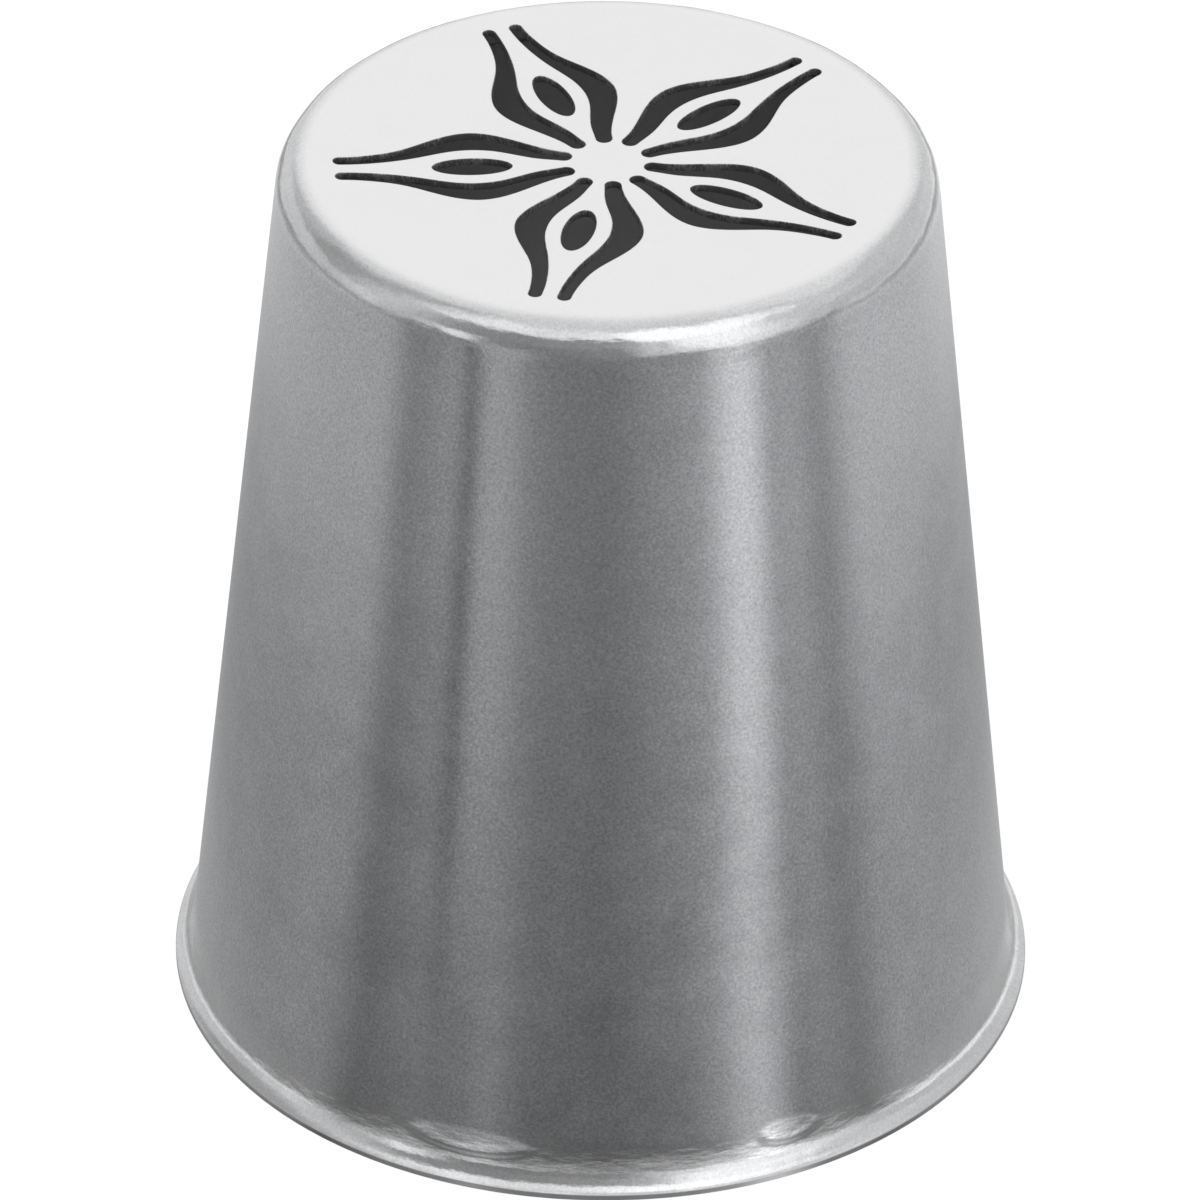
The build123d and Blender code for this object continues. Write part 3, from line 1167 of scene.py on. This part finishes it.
def photograph_camera():
    data = bpy.data.cameras.new("camera")
    data.lens = LENS
    data.sensor_width = SENSOR
    data.clip_start = 1 * MM
    data.clip_end = 20
    camera = bpy.data.objects.new("camera", data)
    bpy.context.scene.collection.objects.link(camera)
    look = Vector((0, math.cos(CAMERA_ELEVATION), -math.sin(CAMERA_ELEVATION)))
    right = Vector((1, 0, 0))
    up = right.cross(look)
    place = Vector((0, 0, CAMERA_AIM_HEIGHT)) - look * CAMERA_DISTANCE
    pan = Matrix.Rotation(CAMERA_PAN, 3, up)
    look, right = pan @ look, pan @ right
    tilt = Matrix.Rotation(CAMERA_TILT, 3, right)
    look, up = tilt @ look, tilt @ up
    right, up = (
        right * math.cos(CAMERA_ROLL) + up * math.sin(CAMERA_ROLL),
        up * math.cos(CAMERA_ROLL) - right * math.sin(CAMERA_ROLL),
    )
    turn_to = Matrix((right, up, -look)).transposed()
    camera.matrix_world = Matrix.Translation(place) @ turn_to.to_4x4()
    bpy.context.scene.camera = camera


photograph_camera()
bpy.context.scene.view_settings.view_transform = "Standard"
print(f"camera: {CAMERA_DISTANCE / MM:.0f} mm away, {math.degrees(CAMERA_ELEVATION):.1f} degrees up")

# %% [markdown]
# ## The table
#
# The table is plain and pale. Seen directly, mirrored or through a hole it glows
# white, which gives the clean background without putting more light on the
# nozzle. A small share of it stays ordinary paint, so it keeps the shadow. Under
# the nozzle the glow drops to a dim share, a painted light that lights the inside
# and the cuts from below.

# %% Table
WHITE = (1, 1, 1, 1)
TABLE_HALF_SIZE = 1.5
TABLE_GREY = (0.8, 0.8, 0.8, 1)
TABLE_ROUGHNESS = 0.8
TABLE_GLOW = 1.05
TABLE_GLOW_SHARE = 0.90
TABLE_PAINTED_GLOW_UNDER = 0.09


def seen_rays(tree):
    """1 for rays that see a surface directly, in a mirror or through glass."""
    path = add(tree, "ShaderNodeLightPath").outputs
    seen = math_node(tree, "MAXIMUM", path["Is Camera Ray"], path["Is Glossy Ray"])
    return math_node(tree, "MAXIMUM", seen, path["Is Transmission Ray"])


def stage_object(name, points, faces, material):
    """A piece of the studio: floor or card. It isn't part of the nozzle."""
    obj = new_object(name, points, [], faces)
    obj.data.materials.append(material)
    return obj


def table_material():
    material = bpy.data.materials.new("white_table")
    material.use_nodes = True
    tree = material.node_tree
    paint = tree.nodes["Principled BSDF"]
    paint.inputs["Base Color"].default_value = TABLE_GREY
    paint.inputs["Roughness"].default_value = TABLE_ROUGHNESS
    outside = math_node(tree, "GREATER_THAN", length(tree, object_place(tree)), BASE_RADIUS - SHEET)
    # Painted light: under the nozzle a dim share of the glow stays, which lights the inside seen through
    # the cuts.
    outside = value_between(tree, outside, TABLE_PAINTED_GLOW_UNDER, 1.0)
    share = product(tree, seen_rays(tree), outside, TABLE_GLOW_SHARE)
    glow = add(tree, "ShaderNodeEmission", {"Color": WHITE, "Strength": TABLE_GLOW})
    mix = add(tree, "ShaderNodeMixShader", {0: share, 1: paint.outputs[0], 2: glow.outputs[0]})
    tree.links.new(mix.outputs[0], tree.nodes["Material Output"].inputs["Surface"])
    return material


sides = ((-1, -1), (1, -1), (1, 1), (-1, 1))
corners = [(x * TABLE_HALF_SIZE, y * TABLE_HALF_SIZE, 0) for x, y in sides]
stage_object("table", corners, [(0, 1, 2, 3)], table_material())
print(f"table: {2 * TABLE_HALF_SIZE:.0f} m square")

# %% [markdown]
# ## Grey cards
#
# Polished steel has hardly any colour of its own: it shows the room. In a studio
# the room is made of grey and white cards, set round the object just outside the
# picture. They give the skirt its upright bands. Here they are two surfaces that
# only mirrors see: a ring lying on the table and a tent over it. Their brightness
# changes with the direction from the nozzle, and the steel blurs the edges.

# %% Brightness of the cards
CARD_BANDS = [
    (-90, 0.80), (-81, 0.66), (-75, 0.63), (-60, 0.60), (-48, 0.56), (-38, 0.55),
    (-34, 0.28), (-28.5, 0.34), (-24, 0.42), (-22.9, 0.05), (-21.7, 0.08), (-20.5, 0.57),
    (-15.5, 0.53), (-12.5, 0.36), (-8, 0.29), (0, 0.26), (7, 0.33), (12, 0.36),
    (16.5, 0.46), (18.5, 0.74), (22, 1.05), (25.2, 0.92), (27.0, 0.45), (31.5, 0.55),
    (37, 0.36), (44, 0.72), (55, 0.71), (64, 0.69), (75, 0.75), (90, 0.80),
]
NEAR_BANDS = [
    (-90, 0.80), (-81, 0.69), (-75, 0.66), (-60, 0.60), (-48, 0.54), (-40, 0.50),
    (-34, 0.27), (-28.5, 0.33), (-25, 0.38), (-22, 0.34), (-19, 0.34), (-15, 0.50),
    (-10, 0.31), (0, 0.25), (7, 0.31), (12, 0.38), (16.5, 0.58), (18.5, 0.84),
    (22, 1.09), (25, 0.70), (27.5, 0.42), (31.5, 0.50), (37, 0.38), (44, 0.66),
    (55, 0.70), (64, 0.76), (75, 0.78), (90, 0.80),
]
FOOT_RADIUS = 16 * MM
TENT_RADIUS = 0.4


def ramp(tree, factor, stops):
    """A ramp through (position, grey) stops, evenly scaled from the first to the last."""
    node = add(tree, "ShaderNodeValToRGB", {"Fac": factor})
    first, last = stops[0][0], stops[-1][0]
    elements = node.color_ramp.elements
    while len(elements) < len(stops):
        elements.new(0.5)
    for element, (position, grey) in zip(elements, stops):
        element.position = (position - first) / (last - first)
        element.color = (grey, grey, grey, 1)
    return node.outputs["Color"]


def mirror_direction(tree, x, y):
    """The direction on the skirt, in radians, whose normal mirrors this place to the camera."""
    seen_at = seen_angle(tree, x, y)
    share = math_node(tree, "DIVIDE", FOOT_RADIUS, length(tree, level(tree, x, y)))
    turn_by = math_node(tree, "MULTIPLY", seen_at, 0.5)
    for _ in range(3):
        lean = math_node(tree, "ARCSINE", product(tree, share, math_node(tree, "SINE", turn_by)))
        turn_by = math_node(tree, "MULTIPLY", math_node(tree, "ADD", seen_at, lean), 0.5)
    return turn_by


def bands(tree, turn_by, stops):
    """Brightness by direction on the skirt. 0 faces the camera, and right is positive."""
    return ramp(tree, math_node(tree, "MULTIPLY_ADD", turn_by, 1 / math.pi, 0.5), stops)


# %% Helpers for the cards
CARD_STEPS = 96


def card_material(name):
    """A card that glows by itself, its node tree and the place on it."""
    material = bpy.data.materials.new(name)
    material.use_nodes = True
    material.cycles.emission_sampling = "NONE"
    tree = material.node_tree
    tree.nodes.remove(tree.nodes["Principled BSDF"])
    place = object_place(tree)
    return material, tree, place, axes_of(tree, place)


def finish_card(name, rows, material, brightness):
    """Makes a round card from rows of (radius, height), seen by mirrors alone."""
    tree = material.node_tree
    glow = add(tree, "ShaderNodeEmission", {"Color": WHITE, "Strength": brightness})
    tree.links.new(glow.outputs[0], tree.nodes["Material Output"].inputs["Surface"])
    turns = [toward(360 * i / CARD_STEPS) for i in range(CARD_STEPS)]
    points = [(u.x * radius, u.y * radius, height) for radius, height in rows for u in turns]
    faces = []
    for first in range(0, len(points) - CARD_STEPS, CARD_STEPS):
        for i in range(CARD_STEPS):
            j = (i + 1) % CARD_STEPS
            faces.append((first + i, first + j, first + CARD_STEPS + j, first + CARD_STEPS + i))
    obj = stage_object(name, points, faces, material)
    obj.visible_camera = obj.visible_diffuse = obj.visible_shadow = False
    obj.visible_transmission = obj.visible_volume_scatter = False
    print(f"{name}: {len(faces)} faces")


# %% [markdown]
# ## The ring on the table
#
# The skirt leans back a little, so all of it mirrors the table in front of it: the
# foot mirrors the table close by, and the mouth mirrors it a hand's width away. The
# ring is a flat card with a hole for the nozzle. Its bands run outwards like the
# spokes of a wheel, because each direction on the skirt mirrors one spoke.

# %% The ring on the table
RING_GAIN = [
    (17.5, 1.1), (18.0, 0.8), (19.0, 0.50), (21, 0.50), (35, 0.57), (50, 0.53), (60, 0.55),
    (70, 0.61), (81, 0.79), (93, 1.04), (105, 1.22), (125, 0.88), (200, 0.42), (560, 0.30),
]
RING_LIFT = 0.01 * MM
NEAR_END = 35 * MM
FAR_START = 65 * MM
SIDE_STRETCH = 0.35
RIM_SIDE_GLOW = 0.3
RIM_SIDE_START = 19 * MM
RIM_SIDE_END = 29 * MM
FAR_SIDE_GLOW = 1.25
FAR_SIDE_START = 120 * MM
FAR_SIDE_END = 240 * MM
FRONT_GLOSS = 2.8
BACK_GLOSS = 1.8


def ring_brightness(tree, place, axes):
    """The bands, brighter or darker with the distance from the nozzle and towards the sides."""
    turn_by = mirror_direction(tree, axes["X"], axes["Y"])
    away = length(tree, place)
    side = math_node(tree, "POWER", math_node(tree, "SINE", turn_by), 2.0)
    rim_side = product(tree, side, between(tree, away, RIM_SIDE_END, RIM_SIDE_START))
    far_side = product(
        tree, between(tree, side, 0.2, 1.0), between(tree, away, FAR_SIDE_START, FAR_SIDE_END)
    )
    side_glow = math_node(tree, "MULTIPLY_ADD", rim_side, RIM_SIDE_GLOW, 1.0)
    side_glow = math_node(tree, "MULTIPLY_ADD", far_side, FAR_SIDE_GLOW, side_glow)
    behind = between(tree, math_node(tree, "DIVIDE", axes["Y"], away), -0.3, 0.4)
    most = value_between(tree, behind, FRONT_GLOSS, BACK_GLOSS)
    facing = add(tree, "ShaderNodeLayerWeight", {"Blend": 0.5}).outputs["Facing"]
    inputs = {"Value": facing, "From Min": 0.70, "From Max": 0.92, "To Min": 1.0, "To Max": most}
    gloss = add(tree, "ShaderNodeMapRange", inputs).outputs[0]
    stretched = product(tree, away, math_node(tree, "MULTIPLY_ADD", side, SIDE_STRETCH, 1.0))
    inputs = {"Value": stretched, "From Min": RING_GAIN[0][0] * MM, "From Max": RING_GAIN[-1][0] * MM}
    gain = ramp(tree, add(tree, "ShaderNodeMapRange", inputs).outputs[0], RING_GAIN)
    far = between(tree, stretched, NEAR_END, FAR_START)
    near_bands, far_bands = bands(tree, turn_by, NEAR_BANDS), bands(tree, turn_by, CARD_BANDS)
    return product(tree, colour_between(tree, far, near_bands, far_bands), gain, gloss, side_glow)


material, tree, place, axes = card_material("card_ring")
rows = [(TENT_RADIUS, RING_LIFT), (BASE_RADIUS + RING_LIFT, RING_LIFT)]
finish_card("card_ring", rows, material, ring_brightness(tree, place, axes))

# %% [markdown]
# ## The tent
#
# The shoulder and the rim curve through a quarter turn, so between them they mirror
# the whole room, from the table's far edge to straight overhead. The tent is half a
# ball of card. Its brightness is given at four heights: at the table's edge, low,
# high and overhead, each by direction, with a soft white card behind the nozzle
# for the flat face to mirror.

# %% The tent
TENT_LINE = [
    (-180, 0.80), (-140, 0.78), (-100, 0.62), (-82, 0.80), (-67, 0.54), (-57, 0.66),
    (-50, 1.10), (-43, 0.85), (-37, 0.30), (-27, 0.26), (4, 0.30), (18, 0.80),
    (35, 1.25), (50, 1.05), (75, 0.62), (103, 0.66), (140, 0.78), (180, 0.80),
]
TENT_WALL = [
    (-180, 0.72), (-135, 0.60), (-118, 0.42), (-100, 0.44), (-82, 0.72), (-67, 0.62),
    (-50, 0.36), (-30, 0.30), (0, 0.36), (14, 0.60), (26, 1.30), (50, 1.25),
    (64, 0.74), (86, 0.78), (103, 0.70), (180, 0.72),
]
TENT_TOP = [
    (-180, 0.80), (-130, 0.84), (-100, 0.50), (-82, 0.74), (-67, 0.98), (-50, 1.10),
    (-30, 0.95), (-9, 1.0), (13, 1.35), (35, 1.50), (53, 1.40), (71, 1.12),
    (86, 0.74), (103, 0.90), (130, 0.92), (180, 0.80),
]
TENT_CROWN = (0.82, 0.82, 0.82)
TENT_ROWS = 24
BACK_CARD = (0.94, 0.94, 0.94)
BACK_CARD_LIFT = 34
BACK_CARD_EDGE = math.cos(math.radians(34))
BACK_CARD_FULL = math.cos(math.radians(20))


def tent_brightness(tree, place, axes):
    """The tent's brightness by height and direction, with the white card behind the nozzle."""
    sine = math_node(tree, "MINIMUM", math_node(tree, "DIVIDE", axes["Z"], TENT_RADIUS), 1.0)
    lift = math_node(tree, "DEGREES", math_node(tree, "ARCSINE", sine))
    seen_at = seen_angle(tree, axes["X"], axes["Y"])
    round_share = math_node(tree, "MULTIPLY_ADD", seen_at, 0.5 / math.pi, 0.5)
    grey = bands(tree, mirror_direction(tree, axes["X"], axes["Y"]), CARD_BANDS)
    for start, end, stops in ((0, 2, TENT_LINE), (16, 24, TENT_WALL), (43, 53, TENT_TOP)):
        higher = ramp(tree, round_share, stops)
        grey = colour_between(tree, between(tree, lift, start, end), grey, higher)
    grey = colour_between(tree, between(tree, lift, 66, 78), grey, TENT_CROWN)
    back_card = (0, *toward(BACK_CARD_LIFT))
    towards = vector_node(tree, "NORMALIZE", place)
    facing = vector_node(tree, "DOT_PRODUCT", towards, back_card, result="Value")
    card = between(tree, facing, BACK_CARD_EDGE, BACK_CARD_FULL)
    return colour_between(tree, card, grey, BACK_CARD)


material, tree, place, axes = card_material("card_tent")
rows = [tuple(toward(90 * row / TENT_ROWS) * TENT_RADIUS) for row in range(TENT_ROWS + 1)]
finish_card("card_tent", rows, material, tent_brightness(tree, place, axes))

# %% [markdown]
# ## Daylight
#
# What isn't a mirror, such as the table, takes its light from a plain white world
# at strength 1, at which a colour comes out about as it is written.

# %% World
world = bpy.data.worlds.new("studio")
bpy.context.scene.world = world
world.use_nodes = True
sky = world.node_tree.nodes["Background"]
sky.inputs["Color"].default_value = WHITE
sky.inputs["Strength"].default_value = 1.0
